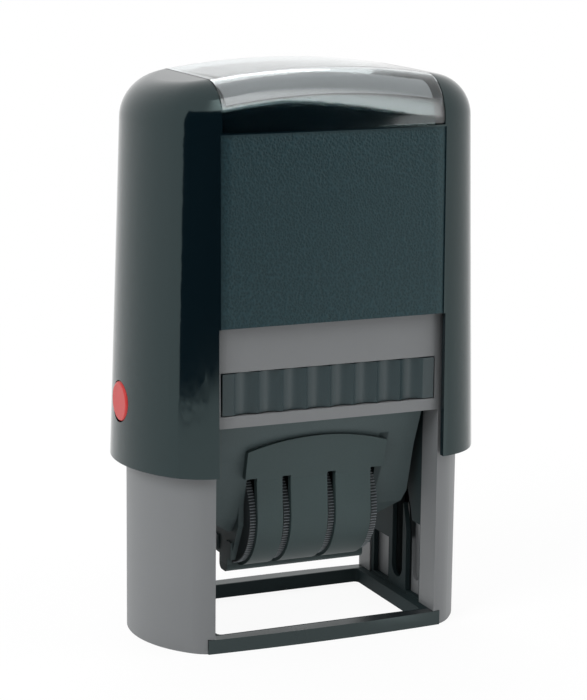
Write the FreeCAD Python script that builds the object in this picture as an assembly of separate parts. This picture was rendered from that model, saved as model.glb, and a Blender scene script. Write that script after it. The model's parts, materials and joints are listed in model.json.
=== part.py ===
import FreeCAD, Part

import math
import os

Vector = FreeCAD.Vector

# Self-inking date stamp. Millimetres, Z up, front is -Y.
# The origin lies on the desk under the middle of the base ring.

# Driving dimensions
plate_length = 41.0
plate_width = 24.0
plate_rise = 7.4
press_travel = 30.6

# Gaps that several pieces share
cut_over = 1.0
slide_gap = 0.1
axle_gap = 0.06
fixed_gap = 0.05
ink_gap = 0.6

# Print unit, measured from its pivot
unit_margin = 0.9
text_plate_thickness = 2.8
block_margin = 1.15
waist_inset = 3.0
waist_drop = 2.7
throat_half_y = 6.9
throat_drop = 14.9
skirt_half_y = 4.25
skirt_drop = 18.2
shoulder_drop = 12.7
chamfer_inset = 0.9
foot_margin = 0.8
ear_r = 4.2
ear_thickness = 1.3
ear_side_gap = 0.4
cam_radius = 6.3
cam_pin_r = 1.2
cam_pin_gap = 0.3
cam_pin_root = 2.0
cam_end_gap = 0.2
cam_groove_depth = 0.8
cam_steps = 24
passage_half_y = 5.2
passage_drop = 2.8

# Date drum, measured from the wheel axis
wheel_drop = 14.75
wheel_x = (-12.85, -5.8, 3.65, 12.85)
wheel_r = 10.7
wheel_teeth = 112
tooth_depth = 0.35
wheel_thickness = 1.2
hub_r = 6.85
axle_r = 1.5
axle_seat = 1.8
axle_end_chamfer = 0.3
drum_cover_rise = 0.6
drum_wall = 1.4
shield_margin = 1.75
shield_top_rise = 16.35
shield_arch_r = 47.0
shield_edge_lean = 0.9
shield_edge_rise = 14.15
shield_kink_inset = 0.6
shield_kink_rise = 7.75
slot_wide_side = 1.05
slot_close_side = 0.7
slot_top_rise = 8.45
lip_reach = 1.2
lip_height = 1.6
lip_half_y = 2.0
lip_edge_r = 1.2
cheek_low_y = 3.7
cheek_mid_y = 7.6
cheek_mid_drop = 1.55
cheek_foot_height = 1.45
lug_reach = 0.4
lug_outer_y = 4.7
lug_width = 2.5
lug_top_drop = 5.75
lug_height = 3.0

# Date bands, their bridge and the printed window
band_thickness = 0.7
band_gap = 0.2
band_side_gap = 0.25
band_split_gap = 0.3
band_face_depth = 0.5
nose_half_y = 1.35
nose_corner_r = 0.5
bridge_foot_half_y = 3.2
bridge_foot_drop = 2.2
date_window_margin = 0.3
date_window_half_y = 2.9

# Ink pad
tray_side_gap = 1.2
tray_end_inset = 0.2
tray_height = 7.9
tray_window_gap = 0.3
scoop_count = 8
scoop_margin = 2.3
scoop_depth = 0.8
scoop_deep_share = 0.333
felt_margin_x = 0.3
felt_margin_y = 2.0
felt_height = 4.0

# Base ring, the black foot that surrounds the print
ring_height = 2.8
ring_border = 2.95
ring_end_inset = 0.2
ring_bulge = 0.8
window_gap_x = 1.0
window_gap_y = 2.5
window_corner_r = 1.0
liner_thickness = 1.0
liner_gap = 0.2
liner_sill_height = 0.5
liner_window_y = 3.9
front_edge_width = 0.6
back_edge_width = 1.1
front_window_drop = 19.5
back_window_drop = 25.7

# Base frame, the grey inner casing
leg_recess_gap = 0.15
leg_web = 1.4
leg_depth = 7.3
leg_floor = 2.0
front_wall_gap = 0.5
front_wall_thickness = 2.2
post_width = 4.4
back_post_width = 3.0
frame_side_extra = 3.8
frame_corner_r = 7.6
frame_straight_over = 1.25
frame_rim = 5.5
frame_lean_x = 1.4
frame_lean_y = 0.6
frame_wall = 2.0
crossbar_height = 2.25
deck_clearance = 3.0
deck_thickness = 2.0
rail_width = 1.7
rail_height = 1.4
spring_cup_wall = 1.2
spring_cup_height = 2.0

# Housing, the black hood that is pressed down
hem_clearance = 4.15
hood_head = 14.65
hood_side_gap = 1.55
hood_side_wall = 1.6
hood_front_gap = 0.75
hood_front_wall = 1.25
hood_lean_x = 2.4
hood_lean_y = 1.1
hood_side_extra = 4.8
hood_corner_r = 12.0
hood_arch_r = 145.0
hood_edge_r = 8.0
hood_roof = 4.6
hood_neck_inset = 4.2
hood_neck_clearance = 0.6
cutout_side_gap = 0.2
cutout_overlap = 1.7
panel_inset = 0.4
panel_gap = 0.7
panel_recess = 0.3
boss_r = 6.0
boss_height = 4.75
boss_overlap = 0.3

# Clear cap and the card under it
cap_inset = 0.5
cap_depth = 10.55
cap_thickness = 1.5
cap_side_gap = 0.2
cap_line_gap = 0.3
card_thickness = 0.3
card_gap = 0.1
card_inset = 1.4
card_reach = 4.6

# Lock buttons
button_rise = 11.75
button_r = 3.85
button_gap = 0.15
button_travel = 0.9
button_end_gap = 0.3
button_sink = 0.3
button_edge_r = 0.5

# Press yoke, its pivot pins and the return spring
arm_side_gap = 0.6
arm_thickness = 2.2
arm_half_y = 4.5
yoke_thickness = 3.0
yoke_disc_r = 8.5
pin_r = 2.0
pin_root = 0.8
pivot_slot_gap = 0.3
wire_r = 0.55
coil_r = 6.5
coil_turns = 5.5
quarters_per_turn = 4
gap_samples = 90

# Widths that follow from the text plate
plate_half_x = plate_length / 2
unit_half_x = plate_half_x + unit_margin
chamfer_half_x = unit_half_x - chamfer_inset
pin_inner_x = unit_half_x - pin_root
window_half_x = plate_half_x + window_gap_x
ring_half_x = window_half_x + ring_border
leg_inner_x = unit_half_x + ear_thickness + ear_side_gap
leg_recess_x = ring_half_x + leg_recess_gap
leg_tube_x = leg_recess_x + leg_web
cam_groove_x = leg_recess_x + cam_groove_depth
cam_end_x = cam_groove_x - cam_end_gap
arm_inner_x = leg_tube_x + arm_side_gap
arm_outer_x = arm_inner_x + arm_thickness
frame_half_x = leg_tube_x + leg_depth
frame_top_half_x = frame_half_x - frame_lean_x
hood_half_x = frame_half_x + hood_side_gap + hood_side_wall
hood_top_half_x = hood_half_x - hood_lean_x
cutout_half_x = leg_inner_x + cutout_side_gap
panel_half_x = cutout_half_x - panel_inset
cap_half_x = panel_half_x - cap_inset
button_inner_x = frame_half_x + button_travel + button_end_gap
button_outer_x = hood_half_x - button_sink
tray_half_x = leg_inner_x - tray_side_gap
felt_half_x = plate_half_x + felt_margin_x
scoop_pitch = 2 * (tray_half_x - scoop_margin) / scoop_count

# Depths that follow from the text plate
plate_half_y = plate_width / 2
block_half_y = plate_half_y + block_margin
waist_half_y = block_half_y - waist_inset
window_half_y = plate_half_y + window_gap_y
front_wall_y = window_half_y + front_wall_gap
post_inner_y = front_wall_y - post_width
liner_front_y = post_inner_y - liner_gap
back_inner_y = front_wall_y - back_post_width
liner_back_y = back_inner_y - liner_gap
frame_half_y = front_wall_y + front_wall_thickness
frame_top_half_y = frame_half_y - frame_lean_y
frame_side_r = frame_half_y + frame_side_extra
ring_end_y = frame_half_y - ring_end_inset
tray_half_y = frame_half_y - tray_end_inset
felt_half_y = plate_half_y + felt_margin_y
hood_half_y = frame_half_y + hood_front_gap + hood_front_wall
hood_top_half_y = hood_half_y - hood_lean_y
hood_side_r = hood_half_y + hood_side_extra
hood_neck_half_y = hood_half_y - hood_neck_inset

# Drum sizes that follow from the wheels
drum_r = wheel_r + drum_cover_rise
shield_edge_y = drum_r + shield_edge_lean
shield_kink_y = drum_r - shield_kink_inset
lip_bottom_drop = drum_r + lip_reach
shield_half_x = wheel_x[-1] + shield_margin
well_half_x = wheel_x[-1] + wheel_thickness / 2 + slide_gap
axle_end_x = well_half_x + axle_seat
foot_half_x = shield_half_x + foot_margin
date_window_half_x = well_half_x + date_window_margin

# Heights that follow from the travel
pivot_height = press_travel + plate_rise
drop_per_radian = press_travel / math.pi
wheel_z = pivot_height - wheel_drop
block_top_z = pivot_height + plate_rise - text_plate_thickness
front_window_z = pivot_height - front_window_drop
back_window_z = pivot_height - back_window_drop
lip_z = wheel_z - lip_bottom_drop
lip_top_z = lip_z + lip_height
felt_z = pivot_height + plate_rise + ink_gap
tray_z = felt_z + slide_gap
tray_top_z = tray_z + tray_height
pad_window_z = felt_z - slide_gap
pad_window_top_z = tray_top_z + tray_window_gap - slide_gap
arch_z = pad_window_z - crossbar_height
deck_z = tray_top_z + deck_clearance
deck_top_z = deck_z + deck_thickness
frame_top_z = deck_top_z + frame_rim
hem_z = press_travel + hem_clearance
frame_straight_z = hem_z + frame_straight_over
cutout_top_z = frame_top_z - cutout_overlap
body_height = frame_top_z + press_travel + hood_head
cap_edge_z = body_height - cap_depth
panel_top_z = cap_edge_z - panel_gap
yoke_top_z = body_height - hood_roof - boss_height
yoke_z = yoke_top_z - yoke_thickness
button_z = hem_z + button_rise


def box(x0, x1, y0, y1, z0, z1):
    return Part.makeBox(x1 - x0, y1 - y0, z1 - z0, Vector(x0, y0, z0))


def slab(half_x, half_y, z0, z1):
    """Box that is centred on the Z axis."""
    return box(-half_x, half_x, -half_y, half_y, z0, z1)


def rod_x(radius, x0, x1, y, z):
    return Part.makeCylinder(radius, x1 - x0, Vector(x0, y, z), Vector(1, 0, 0))


def mirrored_x(shape):
    return shape.mirror(Vector(0, 0, 0), Vector(1, 0, 0))


def mirrored_y(shape):
    return shape.mirror(Vector(0, 0, 0), Vector(0, 1, 0))


def both_ends(shape):
    """A piece of the right side together with its twin on the left."""
    return shape.fuse(mirrored_x(shape))


def prism_x(points, x0, x1):
    """Solid with a (y, z) outline, from x0 to x1."""
    corners = [Vector(x0, y, z) for y, z in points + points[:1]]
    return Part.Face(Part.makePolygon(corners)).extrude(Vector(x1 - x0, 0, 0))


def prism_y(points, y0, y1):
    """Solid with an (x, z) outline, from y0 to y1."""
    corners = [Vector(x, y0, z) for x, z in points + points[:1]]
    return Part.Face(Part.makePolygon(corners)).extrude(Vector(0, y1 - y0, 0))


def symmetric(points):
    """Close a half outline by its mirror image in the first coordinate."""
    return points + [(-a, b) for a, b in reversed(points)]


def slot_x(half_width, z0, z1, x0, x1):
    """Upright slot with round ends, centred on y = 0."""
    middle = box(x0, x1, -half_width, half_width, z0, z1)
    low = rod_x(half_width, x0, x1, 0, z0)
    high = rod_x(half_width, x0, x1, 0, z1)
    return middle.fuse([low, high])


def arc_edge(start, middle, end):
    return Part.Arc(start, middle, end).toShape()


def line_edge(start, end):
    return Part.LineSegment(start, end).toShape()


def bulged_outline(half_x, half_y, side_r, corner_r, z):
    """Rounded rectangle whose two ends bulge out as arcs."""
    side_x = half_x - side_r
    corner_y = half_y - corner_r
    reach = side_r - corner_r
    corner_x = side_x + math.sqrt(reach ** 2 - corner_y ** 2)
    lean = math.atan2(corner_y, corner_x - side_x)
    middle = (lean + math.pi / 2) / 2

    def corner(turn, flip_x, flip_y):
        x = corner_x + corner_r * math.cos(turn)
        y = corner_y + corner_r * math.sin(turn)
        return Vector(flip_x * x, flip_y * y, z)

    def end_of(flip_x, flip_y):
        return corner(lean, flip_x, flip_y)

    def flat_of(flip_x, flip_y):
        return corner(math.pi / 2, flip_x, flip_y)

    def round_of(flip_x, flip_y):
        return corner(middle, flip_x, flip_y)

    edges = [
        line_edge(flat_of(-1, -1), flat_of(1, -1)),
        arc_edge(flat_of(1, -1), round_of(1, -1), end_of(1, -1)),
        arc_edge(end_of(1, -1), Vector(half_x, 0, z), end_of(1, 1)),
        arc_edge(end_of(1, 1), round_of(1, 1), flat_of(1, 1)),
        line_edge(flat_of(1, 1), flat_of(-1, 1)),
        arc_edge(flat_of(-1, 1), round_of(-1, 1), end_of(-1, 1)),
        arc_edge(end_of(-1, 1), Vector(-half_x, 0, z), end_of(-1, -1)),
        arc_edge(end_of(-1, -1), round_of(-1, -1), flat_of(-1, -1)),
    ]
    return Part.Wire(edges)


def arch_block(radius, top_z, half_x, half_y, low_z):
    """Block along Y under an arch whose highest line is at top_z."""

    def arch_point(x):
        return Vector(x, -half_y, top_z - radius + math.sqrt(radius ** 2 - x ** 2))

    low_right = Vector(half_x, -half_y, low_z)
    low_left = Vector(-half_x, -half_y, low_z)
    edges = [
        arc_edge(arch_point(-half_x), arch_point(0), arch_point(half_x)),
        line_edge(arch_point(half_x), low_right),
        line_edge(low_right, low_left),
        line_edge(low_left, arch_point(-half_x)),
    ]
    return Part.Face(Part.Wire(edges)).extrude(Vector(0, 2 * half_y, 0))


def frame_envelope(inset, z0, z1):
    """Outside of the base frame, drawn in by an inset, between two heights."""

    def section(half_x, half_y, z):
        return bulged_outline(half_x - inset, half_y - inset, frame_side_r - inset,
                              frame_corner_r - inset, z)

    low = section(frame_half_x, frame_half_y, 0)
    straight = section(frame_half_x, frame_half_y, frame_straight_z)
    top = section(frame_top_half_x, frame_top_half_y, frame_top_z)
    whole = Part.makeLoft([low, straight, top], True, True)
    reach = frame_half_x + cut_over
    return whole.common(slab(reach, reach, z0, z1))


def hood_envelope(inset, side_wall, front_wall, roof):
    """Outside of the hood, with its arched top and rounded shoulders.

    The inset is taken off all round, and the walls and the roof on top of it.
    """
    side_cut = inset + side_wall
    front_cut = inset + front_wall
    roof_cut = inset + roof

    def section(half_x, half_y, z):
        return bulged_outline(half_x - side_cut, half_y - front_cut, hood_side_r - side_cut,
                              hood_corner_r - side_cut, z)

    low = section(hood_half_x, hood_half_y, hem_z)
    high = section(hood_top_half_x, hood_top_half_y, body_height + cut_over)
    body = Part.makeLoft([low, high], True, True)
    body = body.common(arch_block(hood_arch_r - roof_cut, body_height - roof_cut,
                                  hood_half_x + cut_over, hood_half_y + cut_over,
                                  hem_z - cut_over))
    return body.makeFillet(hood_edge_r - side_cut, top_face(body).OuterWire.Edges)


def top_face(shape):
    return max(shape.Faces, key=lambda face: face.CenterOfMass.z)


def pad_slot_cuts():
    """Windows in the front and back walls that the ink pad slides through."""
    half_x = tray_half_x + tray_window_gap
    half_y = frame_half_y + cut_over
    return slab(half_x, half_y, pad_window_z, pad_window_top_z)


def cam_point(turn):
    """Place of a cam pin as (y, z) when the print unit has turned so far."""
    y = cam_radius * math.cos(turn)
    z = pivot_height - drop_per_radian * turn + cam_radius * math.sin(turn)
    return y, z


def cam_slot(x0, x1):
    """S-shaped slot that the cam pin follows while the unit drops and turns."""
    half_width = cam_pin_r + cam_pin_gap
    sides = {1: [], -1: []}
    heads = []
    for step in range(cam_steps + 1):
        turn = math.pi * step / cam_steps
        y, z = cam_point(turn)
        along = Vector(0, -cam_radius * math.sin(turn),
                       cam_radius * math.cos(turn) - drop_per_radian).normalize()
        across = Vector(0, -along.z, along.y)
        centre = Vector(x0, y, z)
        heads.append((centre, along))
        for side in sides:
            sides[side].append(centre + across * (side * half_width))
    walls = []
    for points in (sides[1], sides[-1][::-1]):
        curve = Part.BSplineCurve()
        curve.interpolate(points)
        walls.append(curve.toShape())
    first, first_way = heads[0]
    last, last_way = heads[-1]
    end_cap = arc_edge(sides[1][-1], last + last_way * half_width, sides[-1][-1])
    start_cap = arc_edge(sides[-1][0], first - first_way * half_width, sides[1][0])
    outline = Part.Wire([walls[0], end_cap, walls[1], start_cap])
    return Part.Face(outline).extrude(Vector(x1 - x0, 0, 0))


def pivot_slot(x0, x1):
    """Upright slot that the pivot pin travels down."""
    half_width = pin_r + pivot_slot_gap
    return slot_x(half_width, pivot_height - press_travel, pivot_height, x0, x1)


def leg_slots():
    """Pivot slot through the right leg, and the blind groove of the cam pin."""
    x0 = leg_recess_x - cut_over
    return pivot_slot(x0, leg_tube_x + cut_over).fuse(cam_slot(x0, cam_groove_x))


def pad_rail():
    """Ledge on the right that the tray of the ink pad slides on."""
    return box(leg_inner_x - rail_width, leg_inner_x, -front_wall_y, front_wall_y,
               felt_z - rail_height, felt_z)


def spring_cup():
    """Ring on the deck that keeps the return spring in its place."""
    inner_r = coil_r + wire_r + axle_gap
    outer_r = inner_r + spring_cup_wall
    base = Vector(0, 0, deck_top_z)
    ring = Part.makeCylinder(outer_r, spring_cup_height, base)
    return ring.cut(Part.makeCylinder(inner_r, spring_cup_height, base))


def base_frame():
    body = frame_envelope(0, 0, frame_top_z)
    reach_y = frame_half_y + cut_over
    upper_z = frame_top_z + cut_over
    lower_z = -cut_over
    tube = frame_envelope(frame_wall, leg_floor, upper_z)
    tube = tube.cut(slab(leg_tube_x, reach_y, lower_z, upper_z))
    body = body.cut([
        tube,
        slab(leg_inner_x, front_wall_y, lower_z, deck_z),
        box(-leg_recess_x, leg_recess_x, -post_inner_y, back_inner_y, lower_z, deck_z),
        slab(leg_recess_x, front_wall_y, deck_top_z, upper_z),
        slab(leg_inner_x, reach_y, lower_z, arch_z),
        slab(ring_half_x + fixed_gap, reach_y, lower_z, ring_height + fixed_gap),
        pad_slot_cuts(),
        both_ends(leg_slots()),
    ])
    return body.fuse([both_ends(pad_rail()), spring_cup()])


def ring_side_liner():
    """Upright lining of the right leg: a slotted plate with two low windows."""
    x1 = ring_half_x - fixed_gap
    x0 = x1 - liner_thickness
    x2 = x1 + cut_over
    z0 = ring_height + liner_sill_height
    plate = box(x0, x1, -liner_front_y, liner_back_y, ring_height, deck_z - fixed_gap)
    front = box(x0, x1, front_edge_width - liner_front_y, -liner_window_y, z0, front_window_z)
    back = box(x0, x1, liner_window_y, liner_back_y - back_edge_width, z0, back_window_z)
    slots = pivot_slot(x0, x2).fuse(cam_slot(x0, x2))
    return plate.cut([front, back, slots])


def base_ring():
    reach = ring_end_y + ring_bulge
    edges = [
        arc_edge(Vector(-ring_half_x, -ring_end_y, 0), Vector(0, -reach, 0),
                 Vector(ring_half_x, -ring_end_y, 0)),
        line_edge(Vector(ring_half_x, -ring_end_y, 0), Vector(ring_half_x, ring_end_y, 0)),
        arc_edge(Vector(ring_half_x, ring_end_y, 0), Vector(0, reach, 0),
                 Vector(-ring_half_x, ring_end_y, 0)),
        line_edge(Vector(-ring_half_x, ring_end_y, 0), Vector(-ring_half_x, -ring_end_y, 0)),
    ]
    plate = Part.Face(Part.Wire(edges)).extrude(Vector(0, 0, ring_height))
    window = slab(window_half_x, window_half_y, -cut_over, ring_height + cut_over)
    upright = [edge for edge in window.Edges if abs(edge.tangentAt(edge.FirstParameter).z) == 1]
    window = window.makeFillet(window_corner_r, upright)
    return plate.cut(window).fuse(both_ends(ring_side_liner()))


def helix_point(turn, pitch, base_z):
    return Vector(coil_r * math.cos(turn), coil_r * math.sin(turn),
                  base_z + pitch * turn / (2 * math.pi))


def helix_direction(turn, pitch):
    rise = pitch / (2 * math.pi)
    return Vector(-coil_r * math.sin(turn), coil_r * math.cos(turn), rise).normalize()


def tangent_arc(start, end, direction):
    """Arc from start to end that leaves start along a direction."""
    chord = end - start
    along = Vector(chord).normalize()
    side = direction - along * direction.dot(along)
    half_turn = direction.getAngle(chord) / 2
    bulge = side.normalize() * (chord.Length / 2 * math.tan(half_turn))
    return arc_edge(start, (start + end) / 2 + bulge, end)


def biarc(start, start_way, end, end_way):
    """Two arcs that meet smoothly between two points with given directions."""
    span = end - start
    a = 2 * (start_way.dot(end_way) - 1)
    b = -2 * span.dot(start_way + end_way)
    c = span.dot(span)
    reach = (-b - math.sqrt(b * b - 4 * a * c)) / (2 * a)
    joint = (start + start_way * reach + end - end_way * reach) / 2
    way = (end - end_way * reach - start - start_way * reach).normalize()
    return [tangent_arc(start, joint, start_way), tangent_arc(joint, end, way)]


def least_coil_gap(pitch):
    """Smallest free distance between points of neighbouring turns."""
    turns = [2 * math.pi * step / gap_samples for step in range(gap_samples)]
    first = helix_point(0, pitch, 0)
    distances = [(helix_point(2 * math.pi + turn - math.pi, pitch, 0) - first).Length
                 for turn in turns]
    return min(distances) - 2 * wire_r


def press_spring():
    """Return spring between the deck and the yoke, as one round wire."""
    base_z = deck_top_z + wire_r
    rise = yoke_z - deck_top_z - 2 * wire_r
    pitch = rise / coil_turns
    edges = []
    quarter_turn = 2 * math.pi / quarters_per_turn
    for quarter in range(round(coil_turns * quarters_per_turn)):
        start = quarter * quarter_turn
        end = start + quarter_turn
        edges += biarc(helix_point(start, pitch, base_z), helix_direction(start, pitch),
                       helix_point(end, pitch, base_z), helix_direction(end, pitch))
    path = Part.Wire(edges)
    circle = Part.makeCircle(wire_r, helix_point(0, pitch, base_z), helix_direction(0, pitch))
    print("least gap between spring turns: %.2f mm" % least_coil_gap(pitch))
    return path.makePipeShell([Part.Wire(circle)], True, False)


def hood_cavity():
    """Inside of the hood: full depth over the frame, narrower above it."""
    space = hood_envelope(0, hood_side_wall, hood_front_wall, hood_roof)
    reach = hood_half_x + cut_over
    neck_z = frame_top_z + press_travel + hood_neck_clearance
    lower = space.common(slab(reach, reach, hem_z, neck_z))
    upper = space.common(slab(reach, hood_neck_half_y, hem_z, body_height))
    mouth = bulged_outline(hood_half_x - hood_side_wall, hood_half_y - hood_front_wall,
                           hood_side_r - hood_side_wall, hood_corner_r - hood_side_wall, hem_z)
    opening = Part.Face(mouth).extrude(Vector(0, 0, -cut_over))
    return [lower, upper, opening]


def cap_recess():
    """Seat of the clear cap and its card in the top of the hood."""
    depth = cap_thickness + card_thickness + 2 * card_gap
    reach = hood_half_y + cut_over
    over = slab(cap_half_x + cap_side_gap, reach, cap_edge_z - cap_line_gap,
                body_height + cut_over)
    return over.cut(hood_envelope(depth, 0, 0, 0))


def panel_cut():
    """Shallow field of the textured panel on the front and the back."""
    reach = hood_half_y + cut_over
    field = slab(panel_half_x, reach, hem_z, panel_top_z)
    return field.cut(hood_envelope(panel_recess, 0, 0, 0))


def housing_shell():
    body = hood_envelope(0, 0, 0, 0)
    reach = hood_half_x + cut_over
    button_holes = rod_x(button_r + button_gap, -reach, reach, 0, button_z)
    cutouts = slab(cutout_half_x, reach, hem_z - cut_over, cutout_top_z)
    body = body.cut(hood_cavity() + [cutouts, button_holes, panel_cut(), cap_recess()])
    boss = Part.makeCylinder(boss_r, boss_height + boss_overlap, Vector(0, 0, yoke_top_z))
    return body.fuse(boss)


def cap_slab(half_x, low_z):
    reach = hood_half_y + cut_over
    return slab(half_x, reach, low_z, body_height + cut_over)


def clear_cap():
    outside = hood_envelope(0, 0, 0, 0)
    inside = hood_envelope(cap_thickness, 0, 0, 0)
    return outside.common(cap_slab(cap_half_x, cap_edge_z)).cut(inside)


def index_card():
    """Card that lies on the hood under the clear cap and bends down over its edges."""
    upper = cap_thickness + card_gap
    over = hood_envelope(upper, 0, 0, 0)
    under = hood_envelope(upper + card_thickness, 0, 0, 0)
    reach = hood_half_y + cut_over
    field = slab(cap_half_x - card_inset, reach, cap_edge_z, body_height)
    below = arch_block(hood_arch_r - card_reach, body_height - card_reach, cap_half_x, reach,
                       hem_z)
    return over.common(field).cut([under, below])


def lock_button():
    """Red button of the right side, with a rounded rim."""
    button = rod_x(button_r, button_inner_x, button_outer_x, 0, button_z)
    rim = [edge for edge in button.Edges if edge.CenterOfMass.x > button_inner_x + button_edge_r
           and edge.Curve.TypeId == "Part::GeomCircle"]
    return button.makeFillet(button_edge_r, rim)


def yoke_arm():
    """Right arm of the yoke, from the crossbar down to the pivot."""
    arm = box(arm_inner_x, arm_outer_x, -arm_half_y, arm_half_y, pivot_height, yoke_top_z)
    foot = rod_x(arm_half_y, arm_inner_x, arm_outer_x, 0, pivot_height)
    bore = rod_x(pin_r + fixed_gap, arm_inner_x - cut_over, arm_outer_x + cut_over, 0,
                 pivot_height)
    return arm.fuse(foot).cut(bore)


def press_yoke():
    crossbar = slab(arm_outer_x, arm_half_y, yoke_z, yoke_top_z)
    disc = Part.makeCylinder(yoke_disc_r, yoke_thickness, Vector(0, 0, yoke_z))
    return crossbar.fuse([disc, both_ends(yoke_arm())])


def pivot_pin():
    """Right pivot pin, from the ear of the print unit to the yoke arm."""
    return rod_x(pin_r, pin_inner_x, arm_outer_x, 0, pivot_height)


def block_outline():
    """Half (y, z) outline of the print unit, from the plate to its skirt."""
    return [
        (block_half_y, block_top_z),
        (waist_half_y, pivot_height - waist_drop),
        (throat_half_y, pivot_height - throat_drop),
        (skirt_half_y, pivot_height - skirt_drop),
    ]


def block_side_outline():
    """Half (x, z) outline of the print unit, with its chamfered shoulders."""
    return [
        (unit_half_x, block_top_z),
        (unit_half_x, pivot_height - shoulder_drop),
        (chamfer_half_x, pivot_height - throat_drop),
        (foot_half_x, pivot_height - skirt_drop),
    ]


def unit_envelope():
    side = prism_x(symmetric(block_outline()), -unit_half_x, unit_half_x)
    front = prism_y(symmetric(block_side_outline()), -block_half_y, block_half_y)
    return side.common(front)


def cheek_outline():
    """Half (y, z) outline of the end plates that stand on the lip of the drum."""
    foot_z = lip_top_z + cheek_foot_height
    return [
        (cheek_mid_y, pivot_height - passage_drop),
        (cheek_mid_y, wheel_z - cheek_mid_drop),
        (cheek_low_y, foot_z),
        (lip_half_y, foot_z),
        (lip_half_y, lip_top_z),
    ]


def cheek():
    """Right end plate with the small lug on its front and back edge."""
    plate = prism_x(symmetric(cheek_outline()), well_half_x, shield_half_x)
    top_z = wheel_z - lug_top_drop
    lug = box(shield_half_x, shield_half_x + lug_reach, lug_outer_y - lug_width, lug_outer_y,
              top_z - lug_height, top_z)
    return plate.fuse([lug, mirrored_y(lug)])


def unit_body():
    """Tilting block with ears, end plates and the passage for the bands."""
    body = unit_envelope()
    well = slab(well_half_x, block_half_y, lip_z, pivot_height - passage_drop)
    passage = slab(well_half_x, passage_half_y, wheel_z, block_top_z + cut_over)
    body = body.cut([well, passage])
    ear = rod_x(ear_r, unit_half_x - cut_over, unit_half_x + ear_thickness, 0, pivot_height)
    body = body.fuse([both_ends(ear), both_ends(cheek())])
    reach = unit_half_x + ear_thickness + cut_over
    pin_bore = rod_x(pin_r + axle_gap, pin_inner_x - fixed_gap, reach, 0, pivot_height)
    cam_bore = rod_x(cam_pin_r + fixed_gap, unit_half_x - cam_pin_root, reach, cam_radius,
                     pivot_height)
    seat_x = axle_end_x + fixed_gap
    axle_bore = rod_x(axle_r + fixed_gap, -seat_x, seat_x, 0, wheel_z)
    return body.cut([both_ends(pin_bore), both_ends(cam_bore), axle_bore])


def cam_pins():
    """Pair of follower pins that run in the cam slots of the legs."""
    pin = rod_x(cam_pin_r, unit_half_x - cam_pin_root, cam_end_x, cam_radius, pivot_height)
    return Part.makeCompound([pin, mirrored_x(pin)])


def drum_outline(inset):
    """Closed (y, z) outline of the drum: straight shield in front, round below."""
    radius = drum_r - inset
    slope = (shield_edge_y - shield_kink_y) / (shield_edge_rise - shield_kink_rise)
    top_y = shield_kink_y + slope * (shield_top_rise - shield_kink_rise) - inset
    kink_y = shield_kink_y - inset
    distance = math.hypot(kink_y, shield_kink_rise)
    turn = math.atan2(shield_kink_rise, kink_y) - math.acos(radius / distance)
    touch_y = radius * math.cos(turn)
    touch_rise = radius * math.sin(turn)

    def place(y, rise):
        return Vector(0, y, wheel_z + rise)

    edges = [
        line_edge(place(-top_y, shield_top_rise), place(-kink_y, shield_kink_rise)),
        line_edge(place(-kink_y, shield_kink_rise), place(-touch_y, touch_rise)),
        arc_edge(place(-touch_y, touch_rise), place(0, -radius), place(touch_y, touch_rise)),
        line_edge(place(touch_y, touch_rise), place(kink_y, shield_kink_rise)),
        line_edge(place(kink_y, shield_kink_rise), place(top_y, shield_top_rise)),
        line_edge(place(top_y, shield_top_rise), place(-top_y, shield_top_rise)),
    ]
    return Part.Face(Part.Wire(edges))


def drum_solid(inset, half_x):
    face = drum_outline(inset)
    face.translate(Vector(-half_x, 0, 0))
    return face.extrude(Vector(2 * half_x, 0, 0))


def slot_span(x):
    """Range of x of the slot of a wheel, close to its right side."""
    return x - slot_wide_side, x + slot_close_side


def wheel_slots():
    """Slots for the wheels. The outer two run out to the ends of the drum."""
    top_z = wheel_z + slot_top_rise
    cuts = []
    for x in wheel_x:
        x0, x1 = slot_span(x)
        if x == wheel_x[0]:
            x0 = -shield_half_x - cut_over
        if x == wheel_x[-1]:
            x1 = shield_half_x + cut_over
        front = box(x0, x1, -block_half_y, -lip_half_y, lip_z, top_z)
        cuts += [front, mirrored_y(front)]
    return cuts


def drum_lip():
    """Bar with rounded lower edges along the lowest line of the drum."""
    bar = slab(shield_half_x, lip_half_y, lip_z, lip_top_z)
    lower = [edge for edge in bar.Edges
             if edge.CenterOfMass.z == lip_z and abs(edge.tangentAt(edge.FirstParameter).x) == 1]
    return bar.makeFillet(lip_edge_r, lower)


def drum_cover():
    """Slotted cover of the date wheels with its arched top edge."""
    shell = drum_solid(0, shield_half_x)
    hollow = drum_solid(drum_wall, shield_half_x + cut_over)
    shell = shell.cut([hollow] + wheel_slots())
    shell = shell.common(arch_block(shield_arch_r, wheel_z + shield_top_rise,
                                    shield_half_x + cut_over, block_half_y, lip_z))
    wheel_room = rod_x(wheel_r + slide_gap, -shield_half_x, shield_half_x, 0, wheel_z)
    room = [drum_slice(wheel_room, x) for x in wheel_x]
    shell = shell.fuse(drum_lip())
    return shell.cut([unit_envelope(), both_ends(cheek())] + room)


def drum_slice(cylinder, x):
    """Part of a long cylinder that a wheel at x needs to turn in."""
    reach = wheel_r + cut_over
    x0, x1 = slot_span(x)
    return cylinder.common(box(x0, x1, -reach, reach, wheel_z - reach, wheel_z + reach))


def wheel_axle():
    """Steel axle with chamfered ends, seated in both end plates."""
    axle = rod_x(axle_r, -axle_end_x, axle_end_x, 0, wheel_z)
    rims = [edge for edge in axle.Edges if edge.Curve.TypeId == "Part::GeomCircle"]
    return axle.makeChamfer(axle_end_chamfer, rims)


def band_spans():
    """Range of x of each date band, beside the wheel that drives it."""
    half = wheel_thickness / 2
    first, second, third, fourth = wheel_x
    middle = (third + fourth) / 2
    spans = [
        (first + half, second - half),
        (second + half, third - half),
        (third + half, middle),
        (middle, fourth - half),
    ]
    return spans


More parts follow.
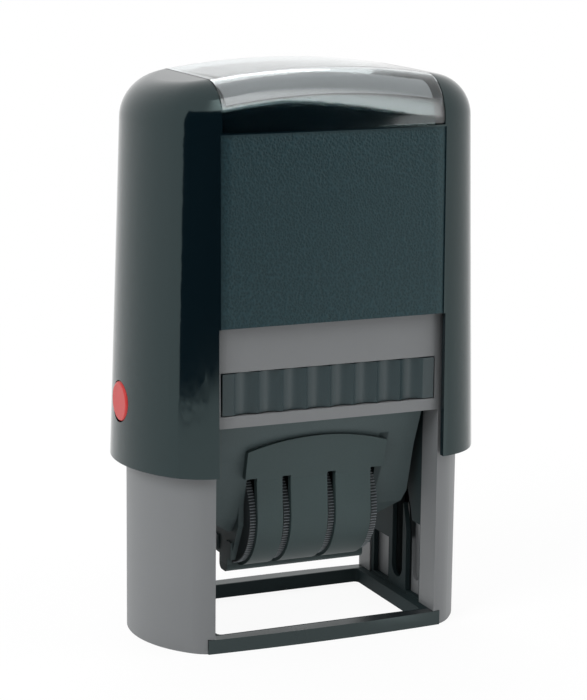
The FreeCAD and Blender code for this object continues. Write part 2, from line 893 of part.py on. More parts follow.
def thumb_wheel(index):
    """Knurled disc and the hub that its date band runs on."""
    x = wheel_x[index]
    outer = []
    for tooth in range(wheel_teeth):
        turn = 2 * math.pi * tooth / wheel_teeth
        half_step = math.pi / wheel_teeth
        outer.append((wheel_r, turn))
        outer.append((wheel_r - tooth_depth, turn + half_step))
    points = [(r * math.cos(turn), wheel_z + r * math.sin(turn)) for r, turn in outer]
    disc = prism_x(points, x - wheel_thickness / 2, x + wheel_thickness / 2)
    x0, x1 = band_spans()[index]
    if index < len(wheel_x) - 1:
        hub = rod_x(hub_r, x, x1 - band_split_gap, 0, wheel_z)
    else:
        hub = rod_x(hub_r, x0 + band_split_gap, x, 0, wheel_z)
    bore = rod_x(axle_r + axle_gap, -shield_half_x, shield_half_x, 0, wheel_z)
    return disc.fuse(hub).cut(bore)


def band_outline(offset):
    """Closed (y, z) outline round the hub and over the nose of the bridge."""
    low_r = hub_r + band_gap + offset
    nose_r = nose_corner_r + offset
    top_z = band_top_z() - band_thickness + offset
    nose_y = nose_half_y + band_gap - nose_corner_r
    nose_z = top_z - nose_r
    rise = nose_z - wheel_z
    distance = math.hypot(nose_y, rise)
    lean = math.acos((low_r - nose_r) / distance)
    turn = math.atan2(rise, nose_y) - lean
    ways = (math.cos(turn), math.sin(turn))
    low = (low_r * ways[0], wheel_z + low_r * ways[1])
    high = (nose_y + nose_r * ways[0], nose_z + nose_r * ways[1])
    half_way = (turn + math.pi / 2) / 2
    bend = (nose_y + nose_r * math.cos(half_way), nose_z + nose_r * math.sin(half_way))

    def right(place):
        return Vector(0, place[0], place[1])

    def left(place):
        return Vector(0, -place[0], place[1])

    crown = (nose_y, top_z)
    edges = [
        arc_edge(right(low), Vector(0, 0, wheel_z - low_r), left(low)),
        line_edge(left(low), left(high)),
        arc_edge(left(high), left(bend), left(crown)),
        line_edge(left(crown), right(crown)),
        arc_edge(right(crown), right(bend), right(high)),
        line_edge(right(high), right(low)),
    ]
    return Part.Face(Part.Wire(edges))


def band_top_z():
    """Level of the band under its raised figures, below the printed face."""
    return pivot_height + plate_rise - band_face_depth


def date_band(index):
    """Printing band, a closed loop from the wheel to the date window."""
    x0, x1 = band_spans()[index]
    x0 += band_side_gap
    x1 -= band_side_gap
    face = band_outline(band_thickness).cut(band_outline(0))
    face.translate(Vector(x0, 0, 0))
    return face.extrude(Vector(x1 - x0, 0, 0))


def band_bridge():
    """Wedge across the passage that holds the bands up to the date window."""
    top_z = band_top_z() - band_thickness - fixed_gap
    points = [
        (nose_half_y + band_gap - nose_corner_r, top_z),
        (bridge_foot_half_y, pivot_height - bridge_foot_drop),
    ]
    return prism_x(symmetric(points), -well_half_x, well_half_x)


def text_plate():
    """Rubber text plate with the window for the date."""
    plate = slab(plate_half_x, plate_half_y, block_top_z, pivot_height + plate_rise)
    window = slab(date_window_half_x, date_window_half_y, block_top_z - cut_over,
                  pivot_height + plate_rise + cut_over)
    return plate.cut(window)


def scoop(x):
    """Saw-tooth scoop in the front of the tray, deepest just right of a ridge."""
    ridge_y = -tray_half_y
    points = [
        Vector(x, ridge_y, 0),
        Vector(x + scoop_pitch, ridge_y, 0),
    ]
    deep = Vector(x + scoop_pitch * scoop_deep_share, ridge_y + scoop_depth, 0)
    edges = [arc_edge(points[0], deep, points[1]), line_edge(points[1], points[0])]
    cut = Part.Face(Part.Wire(edges)).extrude(Vector(0, 0, tray_height))
    cut.translate(Vector(0, 0, tray_z))
    return cut


def ink_pad_tray():
    """Tray of the ink pad, open below, with a finger grip on both faces."""
    tray = slab(tray_half_x, tray_half_y, tray_z, tray_top_z)
    pocket = slab(felt_half_x, felt_half_y, tray_z, felt_z + felt_height)
    start = -scoop_count * scoop_pitch / 2
    front = [scoop(start + scoop_pitch * step) for step in range(scoop_count)]
    back = [mirrored_y(cut) for cut in front]
    return tray.cut([pocket] + front + back)


def ink_felt():
    return slab(felt_half_x, felt_half_y, felt_z, felt_z + felt_height)


def nodes():
    pieces = {
        "base_frame": base_frame(),
        "base_ring": base_ring(),
        "press_spring": press_spring(),
        "housing_shell": housing_shell(),
        "clear_cap": clear_cap(),
        "index_card": index_card(),
        "lock_button_right": lock_button(),
        "lock_button_left": mirrored_x(lock_button()),
        "press_yoke": press_yoke(),
        "pivot_pin_right": pivot_pin(),
        "pivot_pin_left": mirrored_x(pivot_pin()),
        "unit_body": unit_body(),
        "cam_pins": cam_pins(),
        "drum_cover": drum_cover(),
        "wheel_axle": wheel_axle(),
        "band_bridge": band_bridge(),
        "text_plate": text_plate(),
        "ink_pad_tray": ink_pad_tray(),
        "ink_felt": ink_felt(),
    }
    for index in range(len(wheel_x)):
        pieces["thumb_wheel_%d" % (index + 1)] = thumb_wheel(index)
        pieces["date_band_%d" % (index + 1)] = date_band(index)
    return pieces


def main():
    os.makedirs("parts", exist_ok=True)
    for name, shape in nodes().items():
        shape = shape.removeSplitter()
        print("%-18s solids %d valid %s volume %.0f" % (name, len(shape.Solids),
                                                        shape.isValid(), shape.Volume))
        shape.exportStep("parts/%s.step" % name)


main()
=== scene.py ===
import json
import math

import bpy
from bpy.props import FloatProperty, FloatVectorProperty, IntProperty, PointerProperty
from mathutils import Matrix, Vector


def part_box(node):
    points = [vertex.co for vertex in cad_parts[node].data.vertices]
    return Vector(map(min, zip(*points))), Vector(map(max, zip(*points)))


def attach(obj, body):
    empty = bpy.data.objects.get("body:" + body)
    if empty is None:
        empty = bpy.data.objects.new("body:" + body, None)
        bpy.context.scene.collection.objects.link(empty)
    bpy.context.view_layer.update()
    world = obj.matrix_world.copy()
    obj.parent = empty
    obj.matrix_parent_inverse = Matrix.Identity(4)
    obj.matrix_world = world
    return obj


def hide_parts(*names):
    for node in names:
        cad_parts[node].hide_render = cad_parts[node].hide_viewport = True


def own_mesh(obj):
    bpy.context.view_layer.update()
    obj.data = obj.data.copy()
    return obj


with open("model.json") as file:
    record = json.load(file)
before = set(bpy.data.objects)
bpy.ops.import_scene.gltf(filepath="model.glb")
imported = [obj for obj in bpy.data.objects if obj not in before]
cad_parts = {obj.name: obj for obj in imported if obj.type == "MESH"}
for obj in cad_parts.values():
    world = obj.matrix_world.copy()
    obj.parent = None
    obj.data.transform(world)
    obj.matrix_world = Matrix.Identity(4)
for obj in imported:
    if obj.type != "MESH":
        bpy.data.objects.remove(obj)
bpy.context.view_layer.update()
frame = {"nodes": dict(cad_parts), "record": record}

bl_info = {
    "name": "Date Stamp Dressing",
    "version": (1, 0, 0),
    "blender": (4, 5, 0),
    "location": "View3D > Sidebar > Date Stamp",
    "description": "Finishes, printing details and a small studio for the self-inking date stamp",
    "category": "Object",
}

MM = 0.001
PHOTO_WIDTH = 587
PHOTO_HEIGHT = 700
SENSOR_WIDTH = 36.0
DATE_TEXTS = ("12", "JAN", "2", "6")


# Shader building

class Wire:
    """An output socket that takes part in arithmetic."""

    def __init__(self, finish, socket):
        self.finish = finish
        self.socket = socket

    def _maths(self, operation, first, second=0.0, third=0.0):
        return self.finish.add("ShaderNodeMath", {"operation": operation},
                               {0: first, 1: second, 2: third})

    def __add__(self, other):
        return self._maths("ADD", self, other)

    def __radd__(self, other):
        return self._maths("ADD", other, self)

    def __sub__(self, other):
        return self._maths("SUBTRACT", self, other)

    def __rsub__(self, other):
        return self._maths("SUBTRACT", other, self)

    def __mul__(self, other):
        return self._maths("MULTIPLY", self, other)

    def __rmul__(self, other):
        return self._maths("MULTIPLY", other, self)

    def __truediv__(self, other):
        return self._maths("DIVIDE", self, other)

    def __pow__(self, other):
        return self._maths("POWER", self, other)

    def __abs__(self):
        return self._maths("ABSOLUTE", self)

    def above(self, edge, blur):
        """1 where the value is past an edge, with a soft step of the given width."""
        return self.finish.add("ShaderNodeMapRange", {"interpolation_type": "SMOOTHSTEP"},
                               {"Value": self, "From Min": edge - blur / 2,
                                "From Max": edge + blur / 2})

    def below(self, edge, blur):
        return 1 - self.above(edge, blur)

    def spread(self, low, high):
        """Stretches 0 to 1 over a range of values."""
        return self * (high - low) + low


class NodeTree:
    """A shader tree that is built up node by node."""

    def __init__(self, owner):
        owner.use_nodes = True
        self.tree = owner.node_tree
        self.tree.nodes.clear()
        self.texture = self.tree.nodes.new("ShaderNodeTexCoord")

    def add(self, kind, settings=None, inputs=None, output=0):
        node = self.tree.nodes.new(kind)
        for key, value in (settings or {}).items():
            setattr(node, key, value)
        for key, value in (inputs or {}).items():
            if isinstance(value, Wire):
                self.tree.links.new(value.socket, node.inputs[key])
            else:
                node.inputs[key].default_value = value
        return Wire(self, node.outputs[output])

    def parts(self, name):
        """The three numbers of one of the texture coordinates."""
        vector = Wire(self, self.texture.outputs[name])
        return [self.add("ShaderNodeSeparateXYZ", None, {0: vector}, axis) for axis in range(3)]

    def direct_ray(self):
        """1 for camera, mirror and see-through rays, which show the surroundings."""
        path = self.tree.nodes.new("ShaderNodeLightPath")
        camera, glossy, clear = [Wire(self, path.outputs["Is %s Ray" % name])
                                 for name in ("Camera", "Glossy", "Transmission")]
        total = camera + glossy + clear
        total.socket.node.use_clamp = True
        return total


class Finish(NodeTree):
    """A material."""

    def __init__(self, name):
        self.material = bpy.data.materials.new(name)
        super().__init__(self.material)

    def place(self):
        return Wire(self, self.texture.outputs["Object"])

    def axes(self):
        """The three object coordinates, in metres."""
        return self.parts("Object")

    def facing(self):
        """The three parts of the surface normal in object space."""
        return self.parts("Normal")

    def stretched(self, scale):
        return self.add("ShaderNodeMapping", {"vector_type": "POINT"},
                        {"Vector": self.place(), "Scale": scale})

    def noise(self, size, detail=2.0, roughness=0.5, vector=None):
        """Cloudy pattern whose patches are about size metres across."""
        return self.add("ShaderNodeTexNoise", None,
                        {"Vector": vector or self.place(), "Scale": 1 / size,
                         "Detail": detail, "Roughness": roughness})

    def grains(self, size):
        """Pebbled pattern of rounded cells about size metres across."""
        return self.add("ShaderNodeTexVoronoi", {"feature": "SMOOTH_F1"},
                        {"Vector": self.place(), "Scale": 1 / size, "Smoothness": 0.6})

    def distance(self, first, second):
        return self.add("ShaderNodeMath", {"operation": "SQRT"},
                        {0: first * first + second * second})

    def blend(self, factor, first, second):
        """Colour between two colours."""
        return self.add("ShaderNodeMix", {"data_type": "RGBA"},
                        {"Factor": factor, 6: first, 7: second}, 2)

    def bump(self, height, depth, strength=1.0):
        return self.add("ShaderNodeBump", None,
                        {"Height": height, "Distance": depth, "Strength": strength})

    def surface(self, **sockets):
        """Principled shader. Socket names are written with underscores."""
        inputs = {key.replace("_", " "): value for key, value in sockets.items()}
        return self.add("ShaderNodeBsdfPrincipled", None, inputs)

    def plastic(self, **sockets):
        return self.close(self.surface(**sockets))

    def close(self, shader):
        out = self.tree.nodes.new("ShaderNodeOutputMaterial")
        self.tree.links.new(shader.socket, out.inputs["Surface"])
        return self.material


def rgba(colour):
    return (colour[0], colour[1], colour[2], 1.0)


def scaled(colour, factor):
    return (colour[0] * factor, colour[1] * factor, colour[2] * factor, 1.0)


def dress(names, material):
    """Gives one material to CAD nodes, in place of what they came with."""
    for name in names:
        slots = frame["nodes"][name].data.materials
        slots.clear()
        slots.append(material)


# Finishes

def casing_finish(colours):
    """Satin grey, with painted shade in the slots inside the legs and a lighter painted highlight
    strip along one slot edge.
    """
    made = Finish("satin_grey_casing")
    x, y, z = made.axes()
    grain = made.noise(0.22 * MM, 3.0, 0.6)
    clouds = made.noise(14 * MM)
    tone = clouds * 0.6 + grain * 0.4
    grey = made.blend(tone, scaled(colours.casing, 0.93), scaled(colours.casing, 1.07))
    edge = 0.2 * MM
    strip_front, strip_back, strip_top = -0.65 * MM, 0.3 * MM, 17.2 * MM
    slot_reach, slot_half_depth, slot_top = 31.5 * MM, 4.2 * MM, 57 * MM
    # Painted shade: the slots inside the legs take the slot shade colour, and a thin strip along
    # one slot edge stays half as dark, as a painted highlight.
    painted_highlight_strip = y.above(strip_front, edge) * y.below(strip_back, edge) * z.below(strip_top, 1.5 * MM)
    slots = (abs(x).below(slot_reach, edge) * abs(y).below(slot_half_depth, edge)
             * z.below(slot_top, edge) * (1 - painted_highlight_strip * 0.5))
    colour = made.blend(slots, grey, rgba(colours.slot_shade))
    return made.plastic(Base_Color=colour, Roughness=clouds.spread(0.42, 0.5),
                        Normal=made.bump(grain, 0.02 * MM, 0.5))


def satin_black_finish(name, colour, grain_size, roughness, depth, shine=0.5):
    made = Finish(name)
    grain = made.noise(grain_size, 3.0, 0.6)
    clouds = made.noise(9 * MM)
    tone = made.blend(clouds * 0.5 + grain * 0.5, scaled(colour, 0.8), scaled(colour, 1.25))
    return made.plastic(Base_Color=tone, Roughness=clouds.spread(roughness, roughness + 0.08),
                        Specular_IOR_Level=shine, Normal=made.bump(grain, depth, 0.6))


def unit_finish(colours):
    """Matte black, with a band of painted shade that runs down beside the last date wheel."""
    made = Finish("unit_body_plastic")
    x, y, z = made.axes()
    grain = made.noise(0.35 * MM, 3.0, 0.6)
    clouds = made.noise(9 * MM)
    tone = made.blend(clouds * 0.5 + grain * 0.5, scaled(colours.unit, 0.8),
                      scaled(colours.unit, 1.25))
    # Painted shade: a band beside the last date wheel, curving inwards lower down, is blended
    # towards the lining black.
    gap_x, gap_half_width, gap_top = 14.3 * MM, 1.0 * MM, 38.6 * MM
    bend_start, bend_rate = 37 * MM, 8.0
    fall = bend_start - z
    middle = gap_x - fall * fall * bend_rate
    gap = (abs(x - middle).below(gap_half_width, 0.5 * MM) * y.below(0.0, MM)
           * z.below(gap_top, 0.4 * MM))
    colour = made.blend(gap * 0.85, tone, rgba(colours.lining))
    return made.plastic(Base_Color=colour, Roughness=clouds.spread(0.55, 0.63),
                        Specular_IOR_Level=0.25, Normal=made.bump(grain, 0.03 * MM, 0.6))


def ring_finish(colours):
    """Satin on the outer bars of the ring, matte on the linings inside the legs."""
    made = Finish("black_ring_plastic")
    x, y, z = made.axes()
    grain = made.noise(0.25 * MM, 3.0, 0.6)
    clouds = made.noise(9 * MM)
    mix = clouds * 0.5 + grain * 0.5
    satin_tone = made.blend(mix, scaled(colours.ring, 0.8), scaled(colours.ring, 1.25))
    matte_tone = made.blend(mix, scaled(colours.lining, 0.8), scaled(colours.lining, 1.25))
    relief = made.bump(grain, 0.015 * MM, 0.6)
    satin = made.surface(Base_Color=satin_tone, Roughness=clouds.spread(0.24, 0.34),
                         Specular_Tint=rgba(colours.sheen), Normal=relief)
    matte = made.surface(Base_Color=matte_tone, Roughness=clouds.spread(0.6, 0.7),
                         Specular_IOR_Level=0.15, Normal=relief)
    lining_half_depth = 14.9 * MM
    outer = abs(y).above(lining_half_depth, 0.2 * MM)
    return made.close(made.add("ShaderNodeMixShader", None, {0: outer, 1: matte, 2: satin}))


def hood_finish(colours):
    """High gloss, with a fine-grained field on the front and the back."""
    made = Finish("gloss_black_hood")
    x, y, z = made.axes()
    facing_y = made.facing()[1]
    panel_half, panel_top, panel_depth = 22.95 * MM, 98.55 * MM, 17.3 * MM
    edge = 0.06 * MM
    panel = (abs(x).below(panel_half, edge) * z.below(panel_top, edge)
             * abs(facing_y).above(0.8, 0.1) * abs(y).above(panel_depth, edge))
    leather = made.grains(0.45 * MM)
    fine = made.noise(0.25 * MM, 2.0)
    wave = made.noise(16 * MM, 1.0)
    height = leather * 0.7 + fine * 0.3
    pebble = made.blend(height, scaled(colours.panel, 0.4), scaled(colours.panel, 1.7))
    gloss = made.surface(Base_Color=rgba(colours.hood), Roughness=wave * 0.03 + 0.07,
                         Specular_IOR_Level=0.62, Specular_Tint=rgba(colours.sheen))
    grained = made.surface(Base_Color=pebble, Roughness=0.36, Specular_IOR_Level=0.36,
                           Specular_Tint=rgba(colours.sheen),
                           Normal=made.bump(height, 0.06 * MM, 0.9))
    return made.close(made.add("ShaderNodeMixShader", None, {0: panel, 1: gloss, 2: grained}))


def cap_finish(colours):
    made = Finish("clear_cap_plastic")
    haze = made.noise(20 * MM, 1.0)
    cut_end = abs(made.facing()[0]).above(0.85, 0.1)
    tone = made.blend(cut_end, rgba(colours.cap), rgba(colours.lining))
    return made.plastic(Base_Color=tone, Roughness=haze.spread(0.02, 0.06),
                        Transmission_Weight=1.0, IOR=1.49)


def card_finish(colours):
    made = Finish("grey_card")
    fibre = made.noise(0.5 * MM, 4.0, 0.7)
    tone = made.blend(fibre, scaled(colours.card, 0.9), scaled(colours.card, 1.1))
    return made.plastic(Base_Color=tone, Roughness=0.6, Normal=made.bump(fibre, 0.03 * MM, 0.4))


def button_finish(colours):
    made = Finish("red_button_plastic")
    clouds = made.noise(3 * MM)
    tone = made.blend(clouds, scaled(colours.button, 0.92), scaled(colours.button, 1.05))
    grain = made.noise(0.25 * MM, 2.0)
    return made.plastic(Base_Color=tone, Roughness=clouds.spread(0.3, 0.38),
                        Specular_IOR_Level=0.3, Normal=made.bump(grain, 0.01 * MM, 0.4))


def steel_finish(colours):
    made = Finish("drawn_steel")
    streaks = made.noise(0.4 * MM, 3.0, 0.6, made.stretched((0.05, 1.0, 1.0)))
    tone = made.blend(streaks, scaled(colours.steel, 0.8), scaled(colours.steel, 1.15))
    return made.plastic(Base_Color=tone, Metallic=1.0, Roughness=streaks.spread(0.22, 0.36),
                        Normal=made.bump(streaks, 0.01 * MM, 0.3))


def wheel_finish(colours):
    """Matte black wheel whose knurled rim is painted lighter, as a painted highlight on the knurl
    crests.
    """
    made = Finish("knurled_wheel")
    x, y, z = made.axes()
    low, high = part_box("thumb_wheel_1")
    centre_z = (low.z + high.z) / 2
    radius = (high.z - low.z) / 2
    crest = 0.08 * MM
    # Painted highlight: the outer band of the rim is blended towards the lighter crest colour.
    rim = made.distance(y, z - centre_z).above(radius - crest, 0.1 * MM)
    grain = made.noise(0.3 * MM, 3.0)
    tone = made.blend(rim * 0.85 + grain * 0.15, rgba(colours.wheel), rgba(colours.knurl_highlight))
    return made.plastic(Base_Color=tone, Roughness=grain.spread(0.42, 0.55),
                        Normal=made.bump(grain, 0.02 * MM, 0.5))


def rubber_finish(name, colour):
    made = Finish(name)
    grain = made.noise(0.35 * MM, 4.0, 0.7)
    clouds = made.noise(5 * MM)
    tone = made.blend(clouds * 0.7 + grain * 0.3, scaled(colour, 0.75), scaled(colour, 1.15))
    return made.plastic(Base_Color=tone, Roughness=clouds.spread(0.6, 0.75),
                        Normal=made.bump(grain, 0.03 * MM, 0.6))


def felt_finish(colours):
    made = Finish("inked_felt")
    fibre = made.noise(0.28 * MM, 5.0, 0.75)
    pores = made.grains(0.5 * MM)
    tone = made.blend(fibre, scaled(colours.felt, 0.6), scaled(colours.felt, 1.7))
    return made.plastic(Base_Color=tone, Roughness=0.85,
                        Normal=made.bump(fibre * 0.6 + pores * 0.4, 0.15 * MM, 0.8))


# Modelling helpers

def start_fresh():
    if bpy.context.object and bpy.context.object.mode != "OBJECT":
        bpy.ops.object.mode_set(mode="OBJECT")
    bpy.ops.object.select_all(action="DESELECT")


def hold(piece):
    """Makes a piece the only selected one."""
    start_fresh()
    piece.select_set(True)
    bpy.context.view_layer.objects.active = piece
    return piece


def apply_place(piece):
    hold(piece)
    bpy.ops.object.transform_apply(location=True, rotation=True, scale=True)
    return piece


def apply_modifier(piece, kind, **settings):
    hold(piece)
    modifier = piece.modifiers.new(kind.lower(), kind)
    for key, value in settings.items():
        setattr(modifier, key, value)
    bpy.ops.object.modifier_apply(modifier=modifier.name)
    return piece


def block_between(low, high):
    """A box primitive from one corner to the other."""
    start_fresh()
    centre = (Vector(low) + Vector(high)) / 2
    size = Vector(high) - Vector(low)
    bpy.ops.mesh.primitive_cube_add(size=1.0, location=centre, scale=size)
    return apply_place(bpy.context.object)


def slice_at(piece, axis, places):
    """Cuts a mesh into strips by planes across one axis."""
    hold(piece)
    bpy.ops.object.mode_set(mode="EDIT")
    normal = Vector((0, 0, 0))
    normal[axis] = 1
    for place in places:
        bpy.ops.mesh.select_all(action="SELECT")
        bpy.ops.mesh.bisect(plane_co=normal * place, plane_no=normal)
    bpy.ops.object.mode_set(mode="OBJECT")


def select_faces(piece, wanted):
    """Leaves the faces that fit selected, in edit mode."""
    hold(piece)
    bpy.ops.object.mode_set(mode="EDIT")
    bpy.ops.mesh.select_mode(type="FACE")
    bpy.ops.mesh.select_all(action="DESELECT")
    bpy.ops.object.mode_set(mode="OBJECT")
    for face in piece.data.polygons:
        face.select = wanted(face.center, face.normal)
    bpy.ops.object.mode_set(mode="EDIT")


def tidy_mesh(piece):
    """Merges doubles and turns the faces outwards."""
    hold(piece)
    bpy.ops.object.mode_set(mode="EDIT")
    bpy.ops.mesh.select_all(action="SELECT")
    bpy.ops.mesh.remove_doubles(threshold=0.001 * MM)
    bpy.ops.mesh.normals_make_consistent(inside=False)
    bpy.ops.object.mode_set(mode="OBJECT")


def finish_piece(piece, name, body, material, smooth_angle=30.0):
    """Names a piece, gives it its finish, and says what it rides on."""
    hold(piece)
    piece.name = name
    piece.data.name = name
    piece.data.materials.clear()
    piece.data.materials.append(material)
    bpy.ops.object.shade_smooth_by_angle(angle=math.radians(smooth_angle))
    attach(piece, body)
    return piece


# Pieces that are modelled here

def mould_cap(sizes, material):
    """The clear cap, with the thin wall that it has where it bends."""
    source = frame["nodes"]["clear_cap"]
    cap = source.copy()
    cap.data = source.data.copy()
    bpy.context.scene.collection.objects.link(cap)
    tidy_mesh(apply_place(cap))
    low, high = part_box("clear_cap")
    middle = Vector((0, 0, low.z))
    least_reach = 0.1 * MM

    def hidden(centre, normal):
        return abs(normal.x) > 0.9 or normal.dot(centre - middle) < least_reach

    select_faces(cap, hidden)
    bpy.ops.mesh.delete(type="FACE")
    bpy.ops.object.mode_set(mode="OBJECT")
    apply_modifier(cap, "SOLIDIFY", thickness=sizes.cap_wall, offset=-1.0, use_even_offset=True)
    finish_piece(cap, "thin_clear_cap", "cap", material)
    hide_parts("clear_cap")


def wind_spring(sizes, material):
    """The return spring, one round wire wound by a screw."""
    low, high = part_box("press_spring")
    wire_r = sizes.wire_radius
    turns = sizes.spring_turns
    height = high.z - low.z - 2 * wire_r
    start_fresh()
    bpy.ops.mesh.primitive_circle_add(vertices=sizes.wire_sides, radius=wire_r,
                                      location=(high.x - wire_r, 0, low.z + wire_r),
                                      rotation=(math.pi / 2, 0, 0))
    spring = apply_place(bpy.context.object)
    steps = round(turns * sizes.steps_per_turn)
    apply_modifier(spring, "SCREW", axis="Z", angle=2 * math.pi * turns, screw_offset=height,
                   steps=steps, render_steps=steps)
    hold(spring)
    bpy.ops.object.mode_set(mode="EDIT")
    bpy.ops.mesh.select_all(action="SELECT")
    bpy.ops.mesh.fill_holes(sides=0)
    bpy.ops.object.mode_set(mode="OBJECT")
    tidy_mesh(spring)
    finish_piece(spring, "wound_spring", "base", material, 60.0)
    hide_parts("press_spring")
    travel = next(joint for joint in frame["record"]["behaviour"]["joints"]
                  if joint["name"] == "press")["range_m"][1]
    length = high.z - low.z
    (length - travel) / length
    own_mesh(spring)


def crown_felt(sizes, material):
    """The inked felt: a tight pad with a slight crown on its printing face."""
    low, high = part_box("ink_felt")
    felt = block_between(low, high)
    hold(felt)
    bpy.ops.object.mode_set(mode="EDIT")
    bpy.ops.mesh.select_all(action="SELECT")
    bpy.ops.mesh.subdivide(number_cuts=23)
    bpy.ops.object.mode_set(mode="OBJECT")
    for point in felt.data.vertices:
        across = abs(point.co.x) / high.x
        along = abs(point.co.y) / high.y
        depth = (high.z - point.co.z) / (high.z - low.z)
        swell = (1 - across ** 6) * (1 - along ** 6)
        point.co.z -= depth * sizes.felt_crown * swell
        pinch = sizes.felt_crown * (1 - (2 * depth - 1) ** 2)
        point.co.x *= 1 - pinch / high.x * across ** 6
        point.co.y *= 1 - pinch / high.y * along ** 6
    apply_modifier(felt, "BEVEL", width=0.3 * MM, segments=3, limit_method="ANGLE",
                   angle_limit=math.radians(50))
    finish_piece(felt, "ink_felt_pad", "ink_pad", material, 50.0)
    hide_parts("ink_felt")


def engrave_plate(sizes, material):
    """The text plate: a raised frame and rules round the window for the date."""
    low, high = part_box("text_plate")
    window_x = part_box("band_bridge")[1].x + sizes.window_margin
    window_y = sizes.window_half_depth
    rule = sizes.rule_width
    frame_x = high.x - sizes.rule_inset
    frame_y = high.y - sizes.rule_inset
    rows = [window_y + sizes.rule_gap * step for step in (1, 2, 3)]
    body_top = high.z - sizes.figure_relief
    plate = block_between(low, (high.x, high.y, body_top))
    cuts_x = [window_x, frame_x - rule, frame_x, frame_x - sizes.rule_gap]
    cuts_y = [window_y, frame_y - rule, frame_y]
    for row in rows:
        cuts_y += [row, row + rule]
    slice_at(plate, 0, cuts_x + [-cut for cut in cuts_x])
    slice_at(plate, 1, cuts_y + [-cut for cut in cuts_y])

    def raised(centre, normal):
        across, along = abs(centre.x), abs(centre.y)
        if normal.z < 0.9 or across > frame_x or along > frame_y:
            return False
        on_frame = across > frame_x - rule or along > frame_y - rule
        on_rule = (across < frame_x - sizes.rule_gap
                   and any(row < along < row + rule for row in rows))
        return on_frame or on_rule

    select_faces(plate, raised)
    bpy.ops.mesh.extrude_region_move(
        TRANSFORM_OT_translate={"value": (0, 0, sizes.figure_relief)})
    bpy.ops.object.mode_set(mode="OBJECT")
    select_faces(plate, lambda centre, normal: (abs(normal.z) > 0.9 and abs(centre.x) < window_x
                                                and abs(centre.y) < window_y))
    bpy.ops.mesh.bridge_edge_loops()
    bpy.ops.object.mode_set(mode="OBJECT")
    tidy_mesh(plate)
    apply_modifier(plate, "BEVEL", width=0.06 * MM, segments=1, limit_method="ANGLE",
                   angle_limit=math.radians(50))
    finish_piece(plate, "engraved_plate", "print_unit", material)
    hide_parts("text_plate")


def raise_figures(number, text, sizes, material):
    """Mirrored figures on top of one date band."""
    low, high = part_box("date_band_%d" % number)
    start_fresh()
    bpy.ops.object.text_add()
    figures = bpy.context.object
    figures.data.body = text
    figures.data.extrude = 0.5
    figures.data.resolution_u = 4
    bpy.ops.object.convert(target="MESH")
    figures = bpy.context.object
    corners = [point.co.copy() for point in figures.data.vertices]
    least = Vector([min(corner[axis] for corner in corners) for axis in range(3)])
    most = Vector([max(corner[axis] for corner in corners) for axis in range(3)])
    span = most - least
    width = min((high.x - low.x) * 0.86, span.x / span.y * sizes.figure_height)
    depth = 2 * sizes.figure_relief
    scale = Vector((width / span.x, -sizes.figure_height / span.y, depth / span.z))
    middle = (least + most) / 2
    target = Vector(((low.x + high.x) / 2, 0, high.z))
    figures.scale = scale
    figures.location = [target[axis] - middle[axis] * scale[axis] for axis in range(3)]
    apply_place(figures)
    tidy_mesh(figures)
    finish_piece(figures, "date_figures_%d" % number, "print_unit", material)


# Sizes and colours that a user may change

def colour_property(label, text, value):
    return FloatVectorProperty(name=label, description=text, default=value, size=3,
                               subtype="COLOR", min=0.0, max=1.0)


class StampColours(bpy.types.PropertyGroup):
    casing: colour_property("Casing", "Grey of the base frame", (0.15, 0.157, 0.162))
    ring: colour_property("Ring", "Black of the base ring", (0.013, 0.016, 0.018))
    hood: colour_property("Hood", "Gloss black of the hood", (0.002, 0.0055, 0.008))
    panel: colour_property("Panel", "Black of the grained field", (0.007, 0.02, 0.026))
    cap: colour_property("Cap", "Tint of the clear cap", (0.86, 0.9, 0.91))
    card: colour_property("Card", "Card under the clear cap", (0.22, 0.225, 0.23))
    button: colour_property("Button", "Red of the lock buttons", (0.46, 0.03, 0.028))
    unit: colour_property("Unit", "Black of the print unit", (0.06, 0.083, 0.086))
    drum: colour_property("Drum", "Black of the drum cover", (0.034, 0.054, 0.055))
    # Also the colour of the painted shade beside the last date wheel on the print unit.
    lining: colour_property("Lining", "Black inside the legs", (0.013, 0.023, 0.025))
    # Colour of the painted shade in the slots inside the legs.
    slot_shade: colour_property("Shade", "Dark slots inside the legs", (0.012, 0.016, 0.017))
    sheen: colour_property("Sheen", "Tint of what gloss black mirrors", (0.76, 1.0, 0.98))
    wheel: colour_property("Wheel", "Black of the date wheels", (0.012, 0.016, 0.018))
    # Colour of the painted highlight on the knurl crests.
    knurl_highlight: colour_property("Wheel rim", "Highlit crest of the knurl", (0.22, 0.25, 0.27))
    tray: colour_property("Tray", "Black of the ink pad tray", (0.015, 0.031, 0.035))
    steel: colour_property("Steel", "Spring, pins and axle", (0.56, 0.57, 0.58))
    plate: colour_property("Plate", "Rubber of the text plate", (0.33, 0.07, 0.05))
    band: colour_property("Band", "Rubber of the date bands", (0.012, 0.013, 0.015))
    felt: colour_property("Felt", "Inked felt", (0.006, 0.007, 0.016))


def length_property(label, text, value):
    return FloatProperty(name=label, description=text, default=value * MM, unit="LENGTH")


